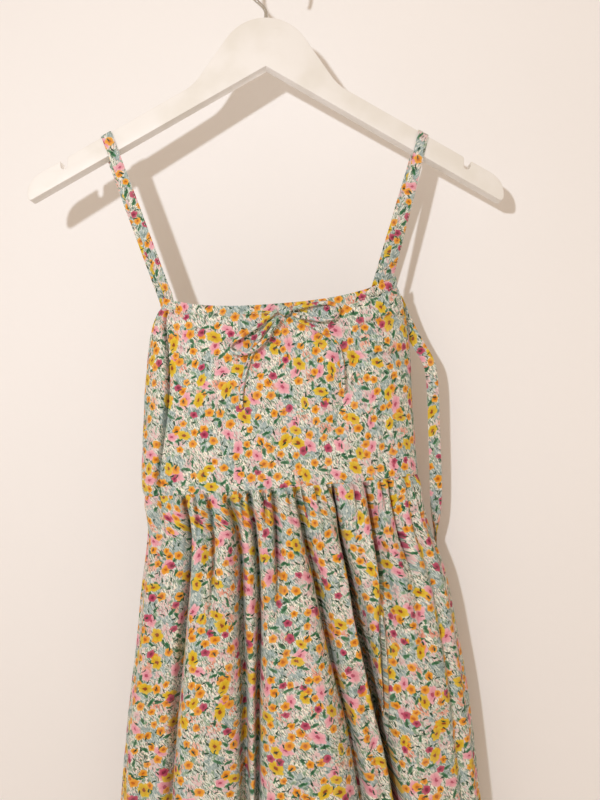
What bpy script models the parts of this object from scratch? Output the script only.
"""A thin-strapped cotton sundress that hangs from a white painted wooden hanger.

Metres, +Z up, front towards -Y, +X to the right as seen from the front.
The origin is the inside top of the hanger's hook, where a rod or a peg bears.
Every piece of cloth is a thin wall on one hanging form: flattened oval sections, one under the other,
which rise towards the right, because the dress hangs a little askew.
"""

import math
from collections import namedtuple

import bmesh
import bpy
import numpy as np
from mathutils import Vector

# Cloth and sewing
SEAM_GAP = 0.0003
BODICE_WALL = 0.0013
SKIRT_WALL = 0.0011
CASING_WALL = 0.0022
CASING_PROUD = 0.0005
CASING_HEIGHT = 0.009
STRAP_WIDTH = 0.0104
STRAP_WALL = 0.0013
TIE_WIDTH = 0.0115
TIE_WALL = 0.0013
TIE_LENGTH = 0.50

# Heights of the hanging form at its middle, before the rise to the right
NECK = -0.324
UNDERARM = -0.386
WAIST = -0.505
HEM = -1.125
RISE_TO_RIGHT = math.tan(math.radians(4.5))
NECK_DIP = 0.0130
NECK_DIP_POWER = 2.4
LEFT_CORNER_LIFT = 0.0040
RIGHT_CORNER_LIFT = 0.0070
CORNER_LIFT_POWER = 3.0
CORNER_SLACK = 0.0004
BACK_NECK_DROP = 0.015
FRONT_JOINT = 0.985
BACK_JOINT_LEFT = 0.947
BACK_JOINT_RIGHT = 0.827

# Sections of the hanging form: height, middle, half width, half depth, squareness of the oval
Section = namedtuple("Section", "height middle half_width half_depth squareness")
SECTIONS = [
    Section(-0.310, 0.0130, 0.1095, 0.022, 2.6),
    Section(-0.324, 0.0130, 0.1120, 0.024, 2.6),
    Section(-0.345, 0.0118, 0.1187, 0.029, 2.6),
    Section(-0.375, 0.0118, 0.1236, 0.034, 2.6),
    Section(-0.420, 0.0112, 0.1268, 0.038, 2.6),
    Section(-0.460, 0.0118, 0.1287, 0.038, 2.6),
    Section(-0.495, 0.0130, 0.1300, 0.036, 2.6),
    Section(-0.515, 0.0160, 0.1306, 0.037, 2.5),
    Section(-0.535, 0.0190, 0.1315, 0.041, 2.4),
    Section(-0.560, 0.0215, 0.1360, 0.045, 2.3),
    Section(-0.590, 0.0250, 0.1433, 0.048, 2.3),
    Section(-0.650, 0.0288, 0.1528, 0.051, 2.3),
    Section(-0.720, 0.0306, 0.1624, 0.053, 2.3),
    Section(-0.800, 0.0318, 0.1703, 0.054, 2.3),
    Section(-0.950, 0.0335, 0.1850, 0.055, 2.3),
    Section(-1.125, 0.0350, 0.2030, 0.056, 2.3),
]

# Creases pressed into the bodice front: a curve from start past bend to end, in x and z
Crease = namedtuple("Crease", "start_x start_z bend_x bend_z end_x end_z depth half_width")
BODICE_CREASES = [
    Crease(-0.094, -0.338, -0.078, -0.410, -0.096, -0.478, 0.0060, 0.0060),
    Crease(0.088, -0.352, 0.078, -0.420, 0.046, -0.498, 0.0030, 0.0110),
    Crease(-0.068, -0.374, 0.050, -0.376, 0.128, -0.349, 0.0018, 0.0060),
    Crease(-0.066, -0.432, -0.040, -0.430, -0.016, -0.432, 0.0015, 0.0060),
    Crease(0.100, -0.382, 0.115, -0.384, 0.132, -0.378, 0.0015, 0.0055),
]

# Valleys between the skirt's folds: where each lies across its panel at the waist and lower down,
# from -1 at the left side to 1 at the right, and how deep, how wide and how long it is
Valley = namedtuple("Valley", "at_waist lower_down depth half_width opens length")
LOWER_DOWN = 0.30
FRONT_VALLEYS = [
    Valley(-0.90, -0.93, 0.006, 0.0050, 0.010, 0.045),
    Valley(-0.74, -0.80, 0.014, 0.0130, 0.080, 9.0),
    Valley(-0.55, -0.60, 0.008, 0.0060, 0.030, 0.110),
    Valley(-0.38, -0.37, 0.011, 0.0120, 0.070, 9.0),
    Valley(-0.245, -0.267, 0.007, 0.0075, 0.050, 9.0),
    Valley(-0.06, -0.20, 0.007, 0.0060, 0.030, 0.150),
    Valley(0.10, 0.34, 0.012, 0.0110, 0.060, 9.0),
    Valley(0.34, 0.53, 0.019, 0.0100, 0.040, 9.0),
    Valley(0.62, 0.60, 0.010, 0.0070, 0.030, 0.250),
    Valley(0.80, 0.79, 0.007, 0.0060, 0.020, 0.070),
]
BACK_VALLEYS = [
    Valley(-0.82, -0.86, 0.012, 0.0110, 0.060, 9.0),
    Valley(-0.58, -0.60, 0.008, 0.0070, 0.030, 0.140),
    Valley(-0.40, -0.46, 0.014, 0.0120, 0.070, 9.0),
    Valley(-0.16, -0.14, 0.010, 0.0090, 0.050, 9.0),
    Valley(0.04, 0.06, 0.007, 0.0060, 0.030, 0.160),
    Valley(0.22, 0.30, 0.015, 0.0110, 0.060, 9.0),
    Valley(0.47, 0.52, 0.009, 0.0080, 0.040, 0.300),
    Valley(0.70, 0.74, 0.013, 0.0120, 0.070, 9.0),
]
GATHERS = 26
COLUMNS_PER_GATHER = 4
GATHER_DEPTH = 0.0028
GATHER_DEPTH_IN_SEAM = 0.0010
GATHER_FULL_AT = 0.010
GATHER_LENGTH = 0.095
GATHER_CROWDING = 0.008
SEAM_CALM = 0.07
SKIRT_ROWS = [0.0, 0.007, 0.018, 0.036, 0.065, 0.105, 0.165, 0.250, 0.360, 0.485]

# Wooden hanger
HUMP_TOP = -0.065
HUMP_RADIUS = 0.045
FLANK_ANGLE = math.radians(55)
ARM_SLOPE = math.radians(29.8)
VERTEX = -0.1106
ARM_HEIGHT = 0.0210
ARM_REACH = 0.2245
NOTCH_X = 0.190
NOTCH_WIDTH = 0.0064
NOTCH_DEPTH = 0.0095
HANGER_THICKNESS = 0.014
HANGER_ROUNDING = 0.0015

# Wire hook
WIRE_RADIUS = 0.0018
HOOK_INNER_RADIUS = 0.022
STEM_BEND = -0.0540
STEM_IN_WOOD = 0.012
HOOK_JOINS_AT = math.radians(232)
HOOK_ENDS_AT = math.radians(-25)

# Where each strap lies over its hanger arm and where it meets the bodice
STRAP_OVER_LEFT = -0.1452
STRAP_OVER_RIGHT = 0.1435
STRAP_IN_CASING = 0.008
STRAP_SLIDE_LEFT = -0.004
FLAT_IN_ROUND = 0.0009

# Bow of thin tie at centre front: x, z and distance out from the bodice, along each stretch
BOW_RADIUS = 0.0019
BOW_KNOT_X = 0.0186
BOW_KNOT_Z = -0.3450
BOW_KNOT_SIZE = (0.0118, 0.0092, 0.0096)
Route = namedtuple("Route", "x z out")
BOW_ROUTES = {
    "bow_loop_left": [
        Route(0.0112, -0.3440, 0.0070),
        Route(0.0045, -0.3500, 0.0070),
        Route(-0.0065, -0.3590, 0.0068),
        Route(-0.0205, -0.3680, 0.0052),
        Route(-0.0290, -0.3735, 0.0036),
        Route(-0.0310, -0.3785, 0.0034),
        Route(-0.0270, -0.3825, 0.0040),
        Route(-0.0180, -0.3836, 0.0060),
        Route(-0.0072, -0.3790, 0.0070),
        Route(0.0020, -0.3690, 0.0070),
        Route(0.0095, -0.3580, 0.0070),
        Route(0.0142, -0.3515, 0.0068),
    ],
    "bow_loop_right": [
        Route(0.0255, -0.3428, 0.0066),
        Route(0.0330, -0.3410, 0.0066),
        Route(0.0455, -0.3385, 0.0056),
        Route(0.0580, -0.3370, 0.0040),
        Route(0.0650, -0.3400, 0.0032),
        Route(0.0668, -0.3455, 0.0036),
        Route(0.0625, -0.3510, 0.0060),
        Route(0.0520, -0.3530, 0.0070),
        Route(0.0410, -0.3516, 0.0070),
        Route(0.0320, -0.3500, 0.0070),
        Route(0.0252, -0.3482, 0.0066),
    ],
    "bow_tail_left": [
        Route(0.0135, -0.3492, 0.0030),
        Route(0.0055, -0.3560, 0.0023),
        Route(-0.0023, -0.3655, 0.0023),
        Route(-0.0090, -0.3780, 0.0023),
        Route(-0.0146, -0.3926, 0.0023),
        Route(-0.0187, -0.4085, 0.0023),
        Route(-0.0203, -0.4217, 0.0023),
        Route(-0.0206, -0.4336, 0.0023),
    ],
    "bow_tail_right": [
        Route(0.0240, -0.3496, 0.0030),
        Route(0.0325, -0.3538, 0.0023),
        Route(0.0410, -0.3575, 0.0023),
        Route(0.0500, -0.3625, 0.0023),
        Route(0.0590, -0.3680, 0.0023),
        Route(0.0655, -0.3755, 0.0023),
        Route(0.0690, -0.3850, 0.0023),
        Route(0.0706, -0.3999, 0.0023),
        Route(0.0710, -0.4181, 0.0023),
    ],
}

# The right tie's free stretch, down inside the armhole and beside the bodice: x, depth y and height z
Free = namedtuple("Free", "x y z")
RIGHT_TIE_FREE = [
    Free(0.1262, 0.0010, -0.3320),
    Free(0.1325, 0.0036, -0.3465),
    Free(0.1392, 0.0048, -0.3610),
    Free(0.1470, 0.0056, -0.3745),
    Free(0.1540, 0.0062, -0.3860),
    Free(0.1580, 0.0068, -0.3990),
    Free(0.1600, 0.0075, -0.4220),
    Free(0.1612, 0.0085, -0.4540),
    Free(0.1632, 0.0115, -0.4950),
    Free(0.1650, 0.0175, -0.5330),
    Free(0.1662, 0.0245, -0.5650),
]
RIGHT_TIE_X_AT_END = 0.1700
LEFT_TIE_X_AT_WAIST = -0.0860
LEFT_TIE_X_AT_END = -0.0800
TIE_OUT = 0.0016

CLOTH_COLOR = (0.80, 0.66, 0.50)
WOOD_COLOR = (0.88, 0.86, 0.82)
WIRE_COLOR = (0.85, 0.85, 0.86)


def clear_scene():
    for scene_object in list(bpy.data.objects):
        bpy.data.objects.remove(scene_object)


def material(name, color, roughness, metallic=0.0):
    made = bpy.data.materials.new(name)
    made.use_nodes = True
    shader = made.node_tree.nodes["Principled BSDF"]
    shader.inputs["Base Color"].default_value = (*color, 1.0)
    shader.inputs["Roughness"].default_value = roughness
    shader.inputs["Metallic"].default_value = metallic
    return made


def ease(amount):
    """0 at or below 0, 1 at or above 1, and smooth between."""
    amount = min(max(amount, 0.0), 1.0)
    return amount * amount * (3.0 - 2.0 * amount)


# The hanging form


def section_at(height):
    """The form's section at a height, on a smooth curve through the rows of the table."""
    heights = np.array([row.height for row in SECTIONS])[::-1]
    height = float(np.clip(height, heights[0], heights[-1]))
    right = int(np.clip(np.searchsorted(heights, height), 1, len(heights) - 1))
    left = right - 1
    step = heights[right] - heights[left]
    t = (height - heights[left]) / step
    values = []
    for field in Section._fields[1:]:
        column = np.array([getattr(row, field) for row in SECTIONS])[::-1]
        slopes = np.gradient(column, heights)
        values.append(
            (2 * t**3 - 3 * t**2 + 1) * column[left]
            + (t**3 - 2 * t**2 + t) * step * slopes[left]
            + (3 * t**2 - 2 * t**3) * column[right]
            + (t**3 - t**2) * step * slopes[right]
        )
    return Section(height, *values)


QUARTER = np.linspace(0.0, math.pi / 2, 129)


def quarter_of(section):
    """A quarter of the oval from the front middle to the side: x, y and the share of its length."""
    power = 2.0 / section.squareness
    x = section.half_width * np.sin(QUARTER) ** power
    y = section.half_depth * np.cos(QUARTER) ** power
    length = np.concatenate([[0.0], np.cumsum(np.hypot(np.diff(x), np.diff(y)))])
    return x, y, length


def girth(height):
    return 4.0 * quarter_of(section_at(height))[2][-1]


def around_of(across, height):
    """The share of the way around, 0 at the front middle and 0.25 at the right side, of an x."""
    x, _, length = quarter_of(section_at(height))
    share = np.interp(abs(across) * x[-1], x, length) / length[-1]
    return math.copysign(0.25 * share, across)


def form_point(around, height):
    """A point of the form: around is a share of the girth, -0.25 and 0.25 are the side seams."""
    section = section_at(height)
    x, y, length = quarter_of(section)
    around = (around + 0.5) % 1.0 - 0.5
    turn = abs(around) / 0.25
    front = turn <= 1.0
    share = (turn if front else 2.0 - turn) * length[-1]
    offset_x = math.copysign(float(np.interp(share, length, x)), around)
    offset_y = float(np.interp(share, length, y)) * (-1.0 if front else 1.0)
    return Vector((section.middle + offset_x, offset_y, height + RISE_TO_RIGHT * offset_x))


def form_normal(around, height):
    step = 0.002
    along = form_point(around + step, height) - form_point(around - step, height)
    return Vector((along.y, -along.x, 0.0)).normalized()


def form_out(around, height, out):
    return form_point(around, height) + form_normal(around, height) * out


def around_at_x(x, height, back=False):
    section = section_at(height)
    across = min(max((x - section.middle) / section.half_width, -1.0), 1.0)
    around = around_of(across, height)
    if not back:
        return around
    return 0.5 - around if around >= 0 else -0.5 - around


def height_at(x, z):
    """The form's height, before its rise to the right, at a world x and z."""
    height = z
    for _ in range(4):
        height = z - RISE_TO_RIGHT * (x - section_at(height).middle)
    return height


def on_form(x, z, out, back=False):
    """A point over the form at a world x and z, moved out along the form's own normal."""
    height = height_at(x, z)
    return form_out(around_at_x(x, height, back), height, out)


# Edges of the panels


def front_joint():
    return around_of(FRONT_JOINT, NECK)


def back_joint(side):
    """How far round from the back's middle the neckline runs, on the left (-1) or right (1)."""
    return around_of(BACK_JOINT_LEFT if side < 0 else BACK_JOINT_RIGHT, NECK - BACK_NECK_DROP)


def front_edge(around):
    """Height of the front's upper edge: a dipped neckline, then an armhole down to the side seam."""
    joint = front_joint()
    share = abs(around) / joint
    lift = LEFT_CORNER_LIFT if around < 0 else RIGHT_CORNER_LIFT
    if share <= 1.0:
        return NECK + lift * share**CORNER_LIFT_POWER - NECK_DIP * (1.0 - share**NECK_DIP_POWER)
    down = math.sin(0.5 * math.pi * (abs(around) - joint) / (0.25 - joint))
    return NECK + lift + (UNDERARM + CASING_HEIGHT + SEAM_GAP - NECK - lift) * down


def back_edge(around):
    """Height of the back's upper edge, straight across and then down each armhole."""
    around = (around + 0.5) % 1.0 - 0.5
    from_middle = 0.5 - abs(around)
    neck = NECK - BACK_NECK_DROP
    joint = back_joint(around)
    if from_middle <= joint:
        return neck
    down = math.sin(0.5 * math.pi * (from_middle - joint) / (0.25 - joint))
    return neck + (UNDERARM - neck) * down


# Meshes


def finish(name, mesh, used_material):
    """Turns a closed bmesh into an object whose faces point out."""
    bmesh.ops.recalc_face_normals(mesh, faces=mesh.faces[:])
    data = bpy.data.meshes.new(name)
    mesh.to_mesh(data)
    mesh.free()
    data.shade_smooth()
    data.set_sharp_from_angle(angle=math.radians(50))
    data.materials.append(used_material)
    made = bpy.data.objects.new(name, data)
    bpy.context.scene.collection.objects.link(made)
    return made


def wall(name, outer, thickness, used_material, level_edges=False):
    """A closed wall from a grid of outer points, whose columns run to the right seen from outside.

    With level_edges the wall's thickness is level, so that its rims face the next panel's squarely,
    and the grid's first and last columns lie past the seams: they only give the way the wall faces.
    """
    outer = np.array(outer, dtype=float)
    down = np.gradient(outer, axis=0)
    across = np.gradient(outer, axis=1)
    normals = np.cross(down, across)
    if level_edges:
        normals[..., 2] = 0.0
        normals = normals[:, 1:-1]
        outer = outer[:, 1:-1]
    normals /= np.linalg.norm(normals, axis=2, keepdims=True)
    inner = outer - normals * thickness
    rows, columns = outer.shape[:2]
    mesh = bmesh.new()
    sides = []
    for layer in (outer, inner):
        sides.append([[mesh.verts.new(point) for point in row] for row in layer])
    for row in range(rows - 1):
        for column in range(columns - 1):
            for side in sides:
                mesh.faces.new(
                    (
                        side[row][column],
                        side[row + 1][column],
                        side[row + 1][column + 1],
                        side[row][column + 1],
                    )
                )
    rim = [(0, column) for column in range(columns)]
    rim += [(row, columns - 1) for row in range(1, rows)]
    rim += [(rows - 1, column) for column in range(columns - 2, -1, -1)]
    rim += [(row, 0) for row in range(rows - 2, 0, -1)]
    for (row, column), (next_row, next_column) in zip(rim, rim[1:] + rim[:1]):
        mesh.faces.new(
            (
                sides[0][row][column],
                sides[0][next_row][next_column],
                sides[1][next_row][next_column],
                sides[1][row][column],
            )
        )
    return finish(name, mesh, used_material)


def ribbon(name, middle, widths, width, thickness, used_material):
    """A flat strip along its middle line, with a width direction at each point."""
    grid = []
    for point, direction in zip(middle, widths):
        half = direction.normalized() * (width / 2)
        grid.append([point - half, point + half])
    return wall(name, grid, thickness, used_material)


# Bodice


def crease_curve(crease):
    start = np.array([crease.start_x, crease.start_z])
    bend = np.array([crease.bend_x, crease.bend_z])
    end = np.array([crease.end_x, crease.end_z])
    steps = np.linspace(0.0, 1.0, 25)[:, None]
    return (1 - steps) ** 2 * start + 2 * steps * (1 - steps) * bend + steps**2 * end


def crease_depth(x, z):
    total = 0.0
    for crease in BODICE_CREASES:
        curve = crease_curve(crease)
        distance = np.hypot(curve[:, 0] - x, curve[:, 1] - z)
        nearest = int(distance.argmin())
        fade = math.sin(math.pi * (0.12 + 0.76 * nearest / (len(curve) - 1)))
        total += crease.depth * fade * math.exp(-((distance[nearest] / crease.half_width) ** 2))
    return total


def bodice_around(share):
    """Columns of a bodice panel, closer together towards its side seams."""
    return share + 0.12 * math.sin(math.pi * share)


def bodice_front(cloth, columns=34, rows=13):
    reach = 0.25 - SEAM_GAP / (2 * girth(WAIST))
    grid = []
    for row in range(rows + 1):
        line = []
        for column in range(-1, columns + 2):
            around = reach * bodice_around(2 * column / columns - 1)
            top = front_edge(around) - CASING_HEIGHT - SEAM_GAP
            height = top + (WAIST - top) * row / rows
            point = form_point(around, height)
            line.append(point - form_normal(around, height) * crease_depth(point.x, point.z))
        grid.append(line)
    return wall("bodice_front", grid, BODICE_WALL, cloth, level_edges=True)


def bodice_back(cloth, columns=26, rows=9):
    reach = 0.25 - SEAM_GAP / (2 * girth(WAIST))
    grid = []
    for row in range(rows + 1):
        line = []
        for column in range(-1, columns + 2):
            around = 0.5 + reach * bodice_around(2 * column / columns - 1)
            top = back_edge((around + 0.5) % 1.0 - 0.5)
            line.append(form_point(around, top + (WAIST - top) * row / rows))
        grid.append(line)
    return wall("bodice_back", grid, BODICE_WALL, cloth, level_edges=True)


def neck_casing(cloth, columns=28, rows=2):
    grid = []
    for row in range(rows + 1):
        line = []
        for column in range(-1, columns + 2):
            around = front_joint() * (2 * column / columns - 1)
            height = front_edge(around) - CASING_HEIGHT * row / rows
            line.append(form_out(around, height, CASING_PROUD))
        grid.append(line)
    return wall("neck_casing", grid, CASING_WALL, cloth, level_edges=True)


# Skirt


def valley_depth(valleys, around, below, height):
    """How far the folds' valleys pull the cloth in, at a place on a panel's own half of the girth."""
    round_length = girth(height)
    total = 0.0
    for valley in valleys:
        across = valley.at_waist + (valley.lower_down - valley.at_waist) * below / LOWER_DOWN
        away = (around - around_of(across, height)) * round_length
        grown = ease(below / valley.opens) * (1.0 - ease((below / valley.length - 0.5) / 0.5))
        width = valley.half_width * (1.0 + 0.5 * below / (WAIST - HEM))
        total += valley.depth * grown * math.exp(-((away / width) ** 2))
    return total


def gather_depth(wave, below):
    """The small waves that the gathering thread draws up, sewn nearly flat in the seam."""
    drawn = GATHER_DEPTH_IN_SEAM + (GATHER_DEPTH - GATHER_DEPTH_IN_SEAM) * ease(below / GATHER_FULL_AT)
    fade = 1.0 - ease(below / GATHER_LENGTH)
    uneven = 0.78 + 0.22 * math.sin(2.3 * wave + 1.1)
    return drawn * fade * uneven * 0.5 * (1.0 - math.cos(2 * math.pi * wave))


def skirt_panel(name, valleys, back, cloth):
    columns = GATHERS * COLUMNS_PER_GATHER
    reach = 0.25 - SEAM_GAP / (2 * girth(WAIST))
    top = WAIST - SEAM_GAP
    grid = []
    for below in [*SKIRT_ROWS, top - HEM]:
        line = []
        for column in range(-1, columns + 2):
            share = 2 * column / columns - 1
            crowding = GATHER_CROWDING * math.sin(17.0 * share + (2.0 if back else 0.0))
            local = reach * (share + crowding * (1.0 - share * share))
            height = top - below
            depth = valley_depth(valleys, local, below, height) * ease((1.0 - abs(share)) / SEAM_CALM)
            depth += gather_depth(GATHERS * column / columns, below)
            around = 0.5 + local if back else local
            line.append(form_out(around, height, -depth))
        grid.append(line)
    return wall(name, grid, SKIRT_WALL, cloth, level_edges=True)


# Straps and ties


def arm_frame(x):
    """Middle of the hanger arm at an x, the way along it to the right, and square up from it."""
    side = 1.0 if x > 0 else -1.0
    middle = Vector((x, 0.0, VERTEX - abs(x) * math.tan(ARM_SLOPE) + ARM_HEIGHT / 2))
    along = Vector((math.cos(ARM_SLOPE), 0.0, -side * math.sin(ARM_SLOPE)))
    up = Vector((side * math.sin(ARM_SLOPE), 0.0, math.cos(ARM_SLOPE)))
    return middle, along, up


def lean_on_arm(end, along, up, crest):
    """Shift along the arm for each metre up it that keeps a strap straight from its crest to its end."""
    return end.dot(along) / (end.dot(up) - crest)


def strap(name, over_x, slide, cloth):
    """One strip from inside the front casing, over the hanger arm, to inside the back neckline."""
    side = 1.0 if over_x > 0 else -1.0
    inward = BODICE_WALL + SEAM_GAP + FLAT_IN_ROUND
    half_width_around = (STRAP_WIDTH / 2 + SEAM_GAP) / girth(NECK)
    front = side * (front_joint() - half_width_around)
    back = side * (0.5 - back_joint(side) + half_width_around)
    in_casing = CASING_WALL - CASING_PROUD + SEAM_GAP + FLAT_IN_ROUND + CORNER_SLACK
    points = [
        form_out(front, front_edge(front) - STRAP_IN_CASING, -in_casing),
        form_out(front, front_edge(front), -in_casing),
    ]
    middle, along, up = arm_frame(over_x)
    stand = HANGER_THICKNESS / 2 + SEAM_GAP + STRAP_WALL
    half_arm = ARM_HEIGHT / 2 * math.cos(ARM_SLOPE)
    crest = half_arm + SEAM_GAP + STRAP_WALL
    corner = HANGER_ROUNDING + STRAP_WALL
    over = [(-stand, -half_arm), (-stand, 0.0), (-stand, crest - corner)]
    for angle in (22.5, 45.0, 67.5):
        turned = math.radians(angle)
        over.append((-stand + corner - corner * math.cos(turned), crest - corner + corner * math.sin(turned)))
    over += [(-stand + corner, crest), (stand - corner, crest)]
    for angle in (67.5, 45.0, 22.5):
        turned = math.radians(angle)
        over.append((stand - corner + corner * math.cos(turned), crest - corner + corner * math.sin(turned)))
    over += [(stand, crest - corner), (stand, 0.0), (stand, -half_arm)]
    back_points = [
        form_out(back, back_edge(back), -inward),
        form_out(back, back_edge(back) - STRAP_IN_CASING, -inward),
    ]
    lean_front = lean_on_arm(points[1] - middle, along, up, crest)
    lean_back = lean_on_arm(back_points[0] - middle - along * slide, along, up, crest)
    rise = []
    for y, n in over:
        shift = slide * (y + stand) / (2 * stand) + (lean_front if y < 0 else lean_back) * (n - crest)
        rise.append(middle + up * n + along * shift + Vector((0.0, y, 0.0)))
    front_run = [points[1].lerp(rise[0], share) for share in (0.12, 0.3, 0.5, 0.7, 0.88)]
    back_run = [rise[-1].lerp(back_points[0], share) for share in (0.12, 0.3, 0.5, 0.7, 0.88)]
    line = points + front_run + rise + back_run + back_points
    front_across = form_point(front + 0.005, NECK) - form_point(front - 0.005, NECK)
    back_across = form_point(back - 0.005, NECK) - form_point(back + 0.005, NECK)
    widths = []
    for index in range(len(line)):
        before_arm = index < len(points) + len(front_run)
        after_arm = index >= len(points) + len(front_run) + len(rise)
        if before_arm:
            blend = ease((index - 1) / (len(front_run) + 0.5))
            direction = front_across.normalized().lerp(along, blend)
        elif after_arm:
            first = len(points) + len(front_run) + len(rise)
            blend = ease((index - first + 1) / (len(back_run) + 0.5))
            direction = along.lerp(back_across.normalized(), blend)
        else:
            direction = along.copy()
        ahead = line[min(index + 1, len(line) - 1)] - line[max(index - 1, 0)]
        ahead.normalize()
        if before_arm or after_arm:
            direction -= ahead * direction.dot(ahead)
        widths.append(direction)
    line.reverse()
    widths.reverse()
    return ribbon(name, line, widths, STRAP_WIDTH, STRAP_WALL, cloth)


def smooth_line(route, count):
    """Evenly spaced points on a smooth curve through the route's own points."""
    route = np.array([tuple(point) for point in route])
    padded = np.vstack([2 * route[0] - route[1], route, 2 * route[-1] - route[-2]])
    fine = []
    for index in range(len(route) - 1):
        a, b, c, d = padded[index : index + 4]
        for t in np.linspace(0.0, 1.0, 16, endpoint=False):
            fine.append(
                0.5 * (2 * b + (c - a) * t + (2 * a - 5 * b + 4 * c - d) * t**2 + (3 * b - 3 * c + d - a) * t**3)
            )
    fine.append(route[-1])
    fine = np.array(fine)
    length = np.concatenate([[0.0], np.cumsum(np.linalg.norm(np.diff(fine, axis=0), axis=1))])
    steps = np.linspace(0.0, length[-1], count)
    return [Vector([np.interp(step, length, fine[:, axis]) for axis in range(3)]) for step in steps]


def cut_to_length(line, wanted):
    """The line from its start as far as the wanted length."""
    kept = [line[0]]
    run = 0.0
    for point in line[1:]:
        step = (point - kept[-1]).length
        if run + step >= wanted:
            kept.append(kept[-1].lerp(point, (wanted - run) / step))
            break
        kept.append(point)
        run += step
    return kept


def tie(name, route, width_directions, cloth):
    line = cut_to_length(smooth_line(route, 60), TIE_LENGTH)
    line = smooth_line(line, 30)
    widths = []
    for index, point in enumerate(line):
        share = index / (len(line) - 1)
        direction = width_directions(share, point)
        ahead = line[min(index + 1, len(line) - 1)] - line[max(index - 1, 0)]
        ahead.normalize()
        direction -= ahead * direction.dot(ahead)
        widths.append(direction)
    return ribbon(name, line, widths, TIE_WIDTH, TIE_WALL, cloth)


def across_form(point):
    """The way across the back of the form at a point, towards the right seen from behind."""
    height = height_at(point.x, point.z)
    around = around_at_x(point.x, height, back=True)
    return (form_point(around + 0.004, height) - form_point(around - 0.004, height)).normalized()


def side_tie_right(cloth):
    """Sewn in behind the strap's end, it runs down the armhole, beside the bodice and behind the skirt."""
    around = front_joint() - (TIE_WIDTH / 2 + SEAM_GAP) / girth(NECK)
    behind_strap = CASING_WALL - CASING_PROUD + STRAP_WALL + 4 * SEAM_GAP + 2 * FLAT_IN_ROUND + CORNER_SLACK
    top = front_edge(around)
    route = [form_out(around, top - 0.001, -behind_strap), form_out(around + 0.006, top - 0.009, -behind_strap)]
    route += [Vector(point) for point in RIGHT_TIE_FREE]
    last = RIGHT_TIE_FREE[-1]
    for step in range(1, 10):
        z = last.z - 0.045 * step
        x = last.x + (RIGHT_TIE_X_AT_END - last.x) * step / 9
        route.append(on_form(x, z, TIE_WALL + TIE_OUT, back=True))
    in_casing = form_point(around - 0.005, NECK) - form_point(around + 0.005, NECK)
    level = Vector((-1.0, 0.0, 0.0))

    def widths(share, point):
        if share < 0.2:
            return in_casing.normalized().lerp(level, ease((share - 0.03) / 0.09))
        return level.lerp(across_form(point), ease((share - 0.40) / 0.14))

    return tie("side_tie_right", route, widths, cloth)


def side_tie_left(cloth):
    """The right tie's mate, which lies down the back of the bodice and the skirt."""
    around = -(0.5 - back_joint(-1.0) + (TIE_WIDTH / 2) / girth(NECK))
    height = back_edge(around) - 0.001
    route = [form_out(around, height, TIE_WALL + 2 * SEAM_GAP)]
    route.append(form_out(around, height - 0.012, TIE_WALL + 2 * SEAM_GAP))
    first = route[-1]
    for step in range(1, 14):
        z = first.z - 0.042 * step
        settle = ease(step / 4)
        x = first.x + (LEFT_TIE_X_AT_WAIST - first.x) * settle
        x += (LEFT_TIE_X_AT_END - LEFT_TIE_X_AT_WAIST) * step / 13
        route.append(on_form(x, z, TIE_WALL + TIE_OUT, back=True))
    return tie("side_tie_left", route, lambda share, point: across_form(point), cloth)


# Bow


def bow_stretch(name, route, cloth):
    """A stretch of the thin tie: a round tube over the bodice front."""
    placed = [on_form(point.x, point.z, point.out) for point in route]
    length = sum((b - a).length for a, b in zip(placed, placed[1:]))
    points = smooth_line(placed, max(9, round(length / (2.2 * BOW_RADIUS * 2))))
    curve = bpy.data.curves.new(name, "CURVE")
    curve.dimensions = "3D"
    curve.bevel_depth = BOW_RADIUS
    curve.bevel_resolution = 2
    curve.use_fill_caps = True
    spline = curve.splines.new("POLY")
    spline.points.add(len(points) - 1)
    for spline_point, point in zip(spline.points, points):
        spline_point.co = (*point, 1.0)
    curve.materials.append(cloth)
    made = bpy.data.objects.new(name, curve)
    bpy.context.scene.collection.objects.link(made)
    return made


def bow_knot(cloth):
    """The knot, a small rounded lump with the tie's turn across it."""
    centre = on_form(BOW_KNOT_X, BOW_KNOT_Z, BOW_KNOT_SIZE[1] / 2 + CASING_PROUD + SEAM_GAP)
    mesh = bmesh.new()
    bmesh.ops.create_uvsphere(mesh, u_segments=16, v_segments=10, radius=0.5)
    for vertex in mesh.verts:
        waist = 1.0 - 0.12 * math.exp(-((vertex.co.x / 0.16) ** 2))
        vertex.co = Vector(
            (
                vertex.co.x * BOW_KNOT_SIZE[0],
                vertex.co.y * BOW_KNOT_SIZE[1] * waist,
                vertex.co.z * BOW_KNOT_SIZE[2] * waist,
            )
        )
        vertex.co += centre
    return finish("bow_knot", mesh, cloth)


# Hanger


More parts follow.
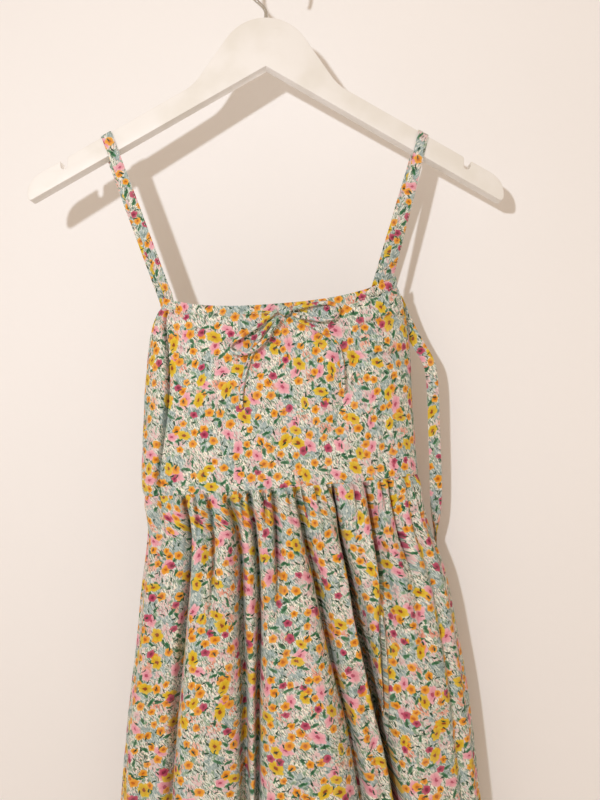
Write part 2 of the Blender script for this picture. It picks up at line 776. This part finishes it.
def hanger_top_half():
    """The upper outline from the hump's top to the tip, as x and z on the right side."""
    slope = math.tan(ARM_SLOPE)
    arm_top = VERTEX + ARM_HEIGHT
    line = []
    for angle in np.linspace(0.0, FLANK_ANGLE, 9):
        line.append((HUMP_RADIUS * math.sin(angle), HUMP_TOP - HUMP_RADIUS * (1 - math.cos(angle))))
    flank_x, flank_z = line[-1]
    flank = math.tan(FLANK_ANGLE)
    meet = (flank_z + flank * flank_x - arm_top) / (flank - slope)
    near = (meet - 0.0065, flank_z - flank * (meet - 0.0065 - flank_x))
    far = (meet + 0.0085, arm_top - slope * (meet + 0.0085))
    corner = (meet, arm_top - slope * meet)
    for share in np.linspace(0.0, 1.0, 6):
        line.append(
            tuple(
                (1 - share) ** 2 * near[axis] + 2 * share * (1 - share) * corner[axis] + share**2 * far[axis]
                for axis in (0, 1)
            )
        )
    half = NOTCH_WIDTH / 2
    for side in (-1, 1):
        edge = NOTCH_X + side * half
        if side < 0:
            line.append((edge, arm_top - slope * edge))
        bottom = arm_top - slope * NOTCH_X - NOTCH_DEPTH + half
        for angle in np.linspace(0.0, math.pi / 2, 4)[:: (1 if side < 0 else -1)]:
            line.append((NOTCH_X + side * half * math.cos(angle), bottom - half * math.sin(angle)))
        if side > 0:
            line.append((edge, arm_top - slope * edge))
    tip_z = VERTEX - slope * ARM_REACH + 0.0065
    start = (ARM_REACH - 0.0165, arm_top - slope * (ARM_REACH - 0.0165))
    corner = (ARM_REACH + 0.0005, start[1] - slope * 0.015)
    for share in np.linspace(0.0, 1.0, 7):
        line.append(
            tuple(
                (1 - share) ** 2 * start[axis]
                + 2 * share * (1 - share) * corner[axis]
                + share**2 * (ARM_REACH, tip_z)[axis]
                for axis in (0, 1)
            )
        )
    line.append((ARM_REACH - 0.001, VERTEX - slope * (ARM_REACH - 0.001)))
    cleaned = [line[0]]
    for point in line[1:]:
        if math.dist(point, cleaned[-1]) > 0.0004:
            cleaned.append(point)
    return cleaned


def hanger_arms(paint):
    right = hanger_top_half()
    left = [(-x, z) for x, z in right[1:]]
    outline = right[::-1] + left + [(0.0, VERTEX)]
    mesh = bmesh.new()
    front = [mesh.verts.new((x, -HANGER_THICKNESS / 2, z)) for x, z in outline]
    face = mesh.faces.new(front)
    extruded = bmesh.ops.extrude_face_region(mesh, geom=[face])
    moved = [item for item in extruded["geom"] if isinstance(item, bmesh.types.BMVert)]
    bmesh.ops.translate(mesh, verts=moved, vec=(0.0, HANGER_THICKNESS, 0.0))
    rims = [edge for edge in mesh.edges if abs(edge.verts[0].co.y - edge.verts[1].co.y) < 1e-6]
    bmesh.ops.bevel(mesh, geom=rims, offset=HANGER_ROUNDING, segments=2, profile=0.5, affect="EDGES")
    made = finish("hanger_arms", mesh, paint)
    drill = bmesh.new()
    bmesh.ops.create_cone(
        drill,
        cap_ends=True,
        segments=12,
        radius1=WIRE_RADIUS + SEAM_GAP,
        radius2=WIRE_RADIUS + SEAM_GAP,
        depth=2 * (STEM_IN_WOOD + SEAM_GAP),
    )
    bmesh.ops.translate(drill, verts=drill.verts[:], vec=(0.0, 0.0, HUMP_TOP))
    cutter = finish("stem_hole", drill, paint)
    cutter.hide_render = True
    cutter.display_type = "WIRE"
    cut = made.modifiers.new("stem hole", "BOOLEAN")
    cut.operation = "DIFFERENCE"
    cut.object = cutter
    return made


def hanger_hook(wire):
    """A round wire from its hole in the hump, leaning left and then over in a hook."""
    radius = HOOK_INNER_RADIUS + WIRE_RADIUS
    centre_z = -HOOK_INNER_RADIUS
    points = [Vector((0.0, 0.0, HUMP_TOP - STEM_IN_WOOD + SEAM_GAP)), Vector((0.0, 0.0, STEM_BEND - 0.004))]
    join = Vector((radius * math.cos(HOOK_JOINS_AT), 0.0, centre_z + radius * math.sin(HOOK_JOINS_AT)))
    bend = Vector((0.0, 0.0, STEM_BEND))
    reach = bend.lerp(join, 0.35)
    for share in (0.25, 0.5, 0.75, 1.0):
        points.append(points[1].lerp(bend, share).lerp(bend.lerp(reach, share), share))
    for angle in np.linspace(HOOK_JOINS_AT, HOOK_ENDS_AT, 26):
        points.append(Vector((radius * math.cos(angle), 0.0, centre_z + radius * math.sin(angle))))
    curve = bpy.data.curves.new("hanger_hook", "CURVE")
    curve.dimensions = "3D"
    curve.bevel_depth = WIRE_RADIUS
    curve.bevel_resolution = 2
    curve.use_fill_caps = True
    spline = curve.splines.new("POLY")
    spline.points.add(len(points) - 1)
    for spline_point, point in zip(spline.points, points):
        spline_point.co = (*point, 1.0)
    curve.materials.append(wire)
    made = bpy.data.objects.new("hanger_hook", curve)
    bpy.context.scene.collection.objects.link(made)
    return made


def build():
    clear_scene()
    bodice_cloth = material("bodice cotton", CLOTH_COLOR, 0.85)
    skirt_cloth = material("skirt cotton", CLOTH_COLOR, 0.85)
    trim_cloth = material("strap and tie cotton", CLOTH_COLOR, 0.85)
    paint = material("white painted wood", WOOD_COLOR, 0.45)
    wire = material("hook wire", WIRE_COLOR, 0.25, 1.0)
    hanger_arms(paint)
    hanger_hook(wire)
    bodice_front(bodice_cloth)
    bodice_back(bodice_cloth)
    neck_casing(bodice_cloth)
    skirt_panel("skirt_front", FRONT_VALLEYS, False, skirt_cloth)
    skirt_panel("skirt_back", BACK_VALLEYS, True, skirt_cloth)
    strap("strap_left", STRAP_OVER_LEFT, STRAP_SLIDE_LEFT, trim_cloth)
    strap("strap_right", STRAP_OVER_RIGHT, 0.0, trim_cloth)
    side_tie_right(trim_cloth)
    side_tie_left(trim_cloth)
    bow_knot(trim_cloth)
    for name, route in BOW_ROUTES.items():
        bow_stretch(name, route, trim_cloth)


build()
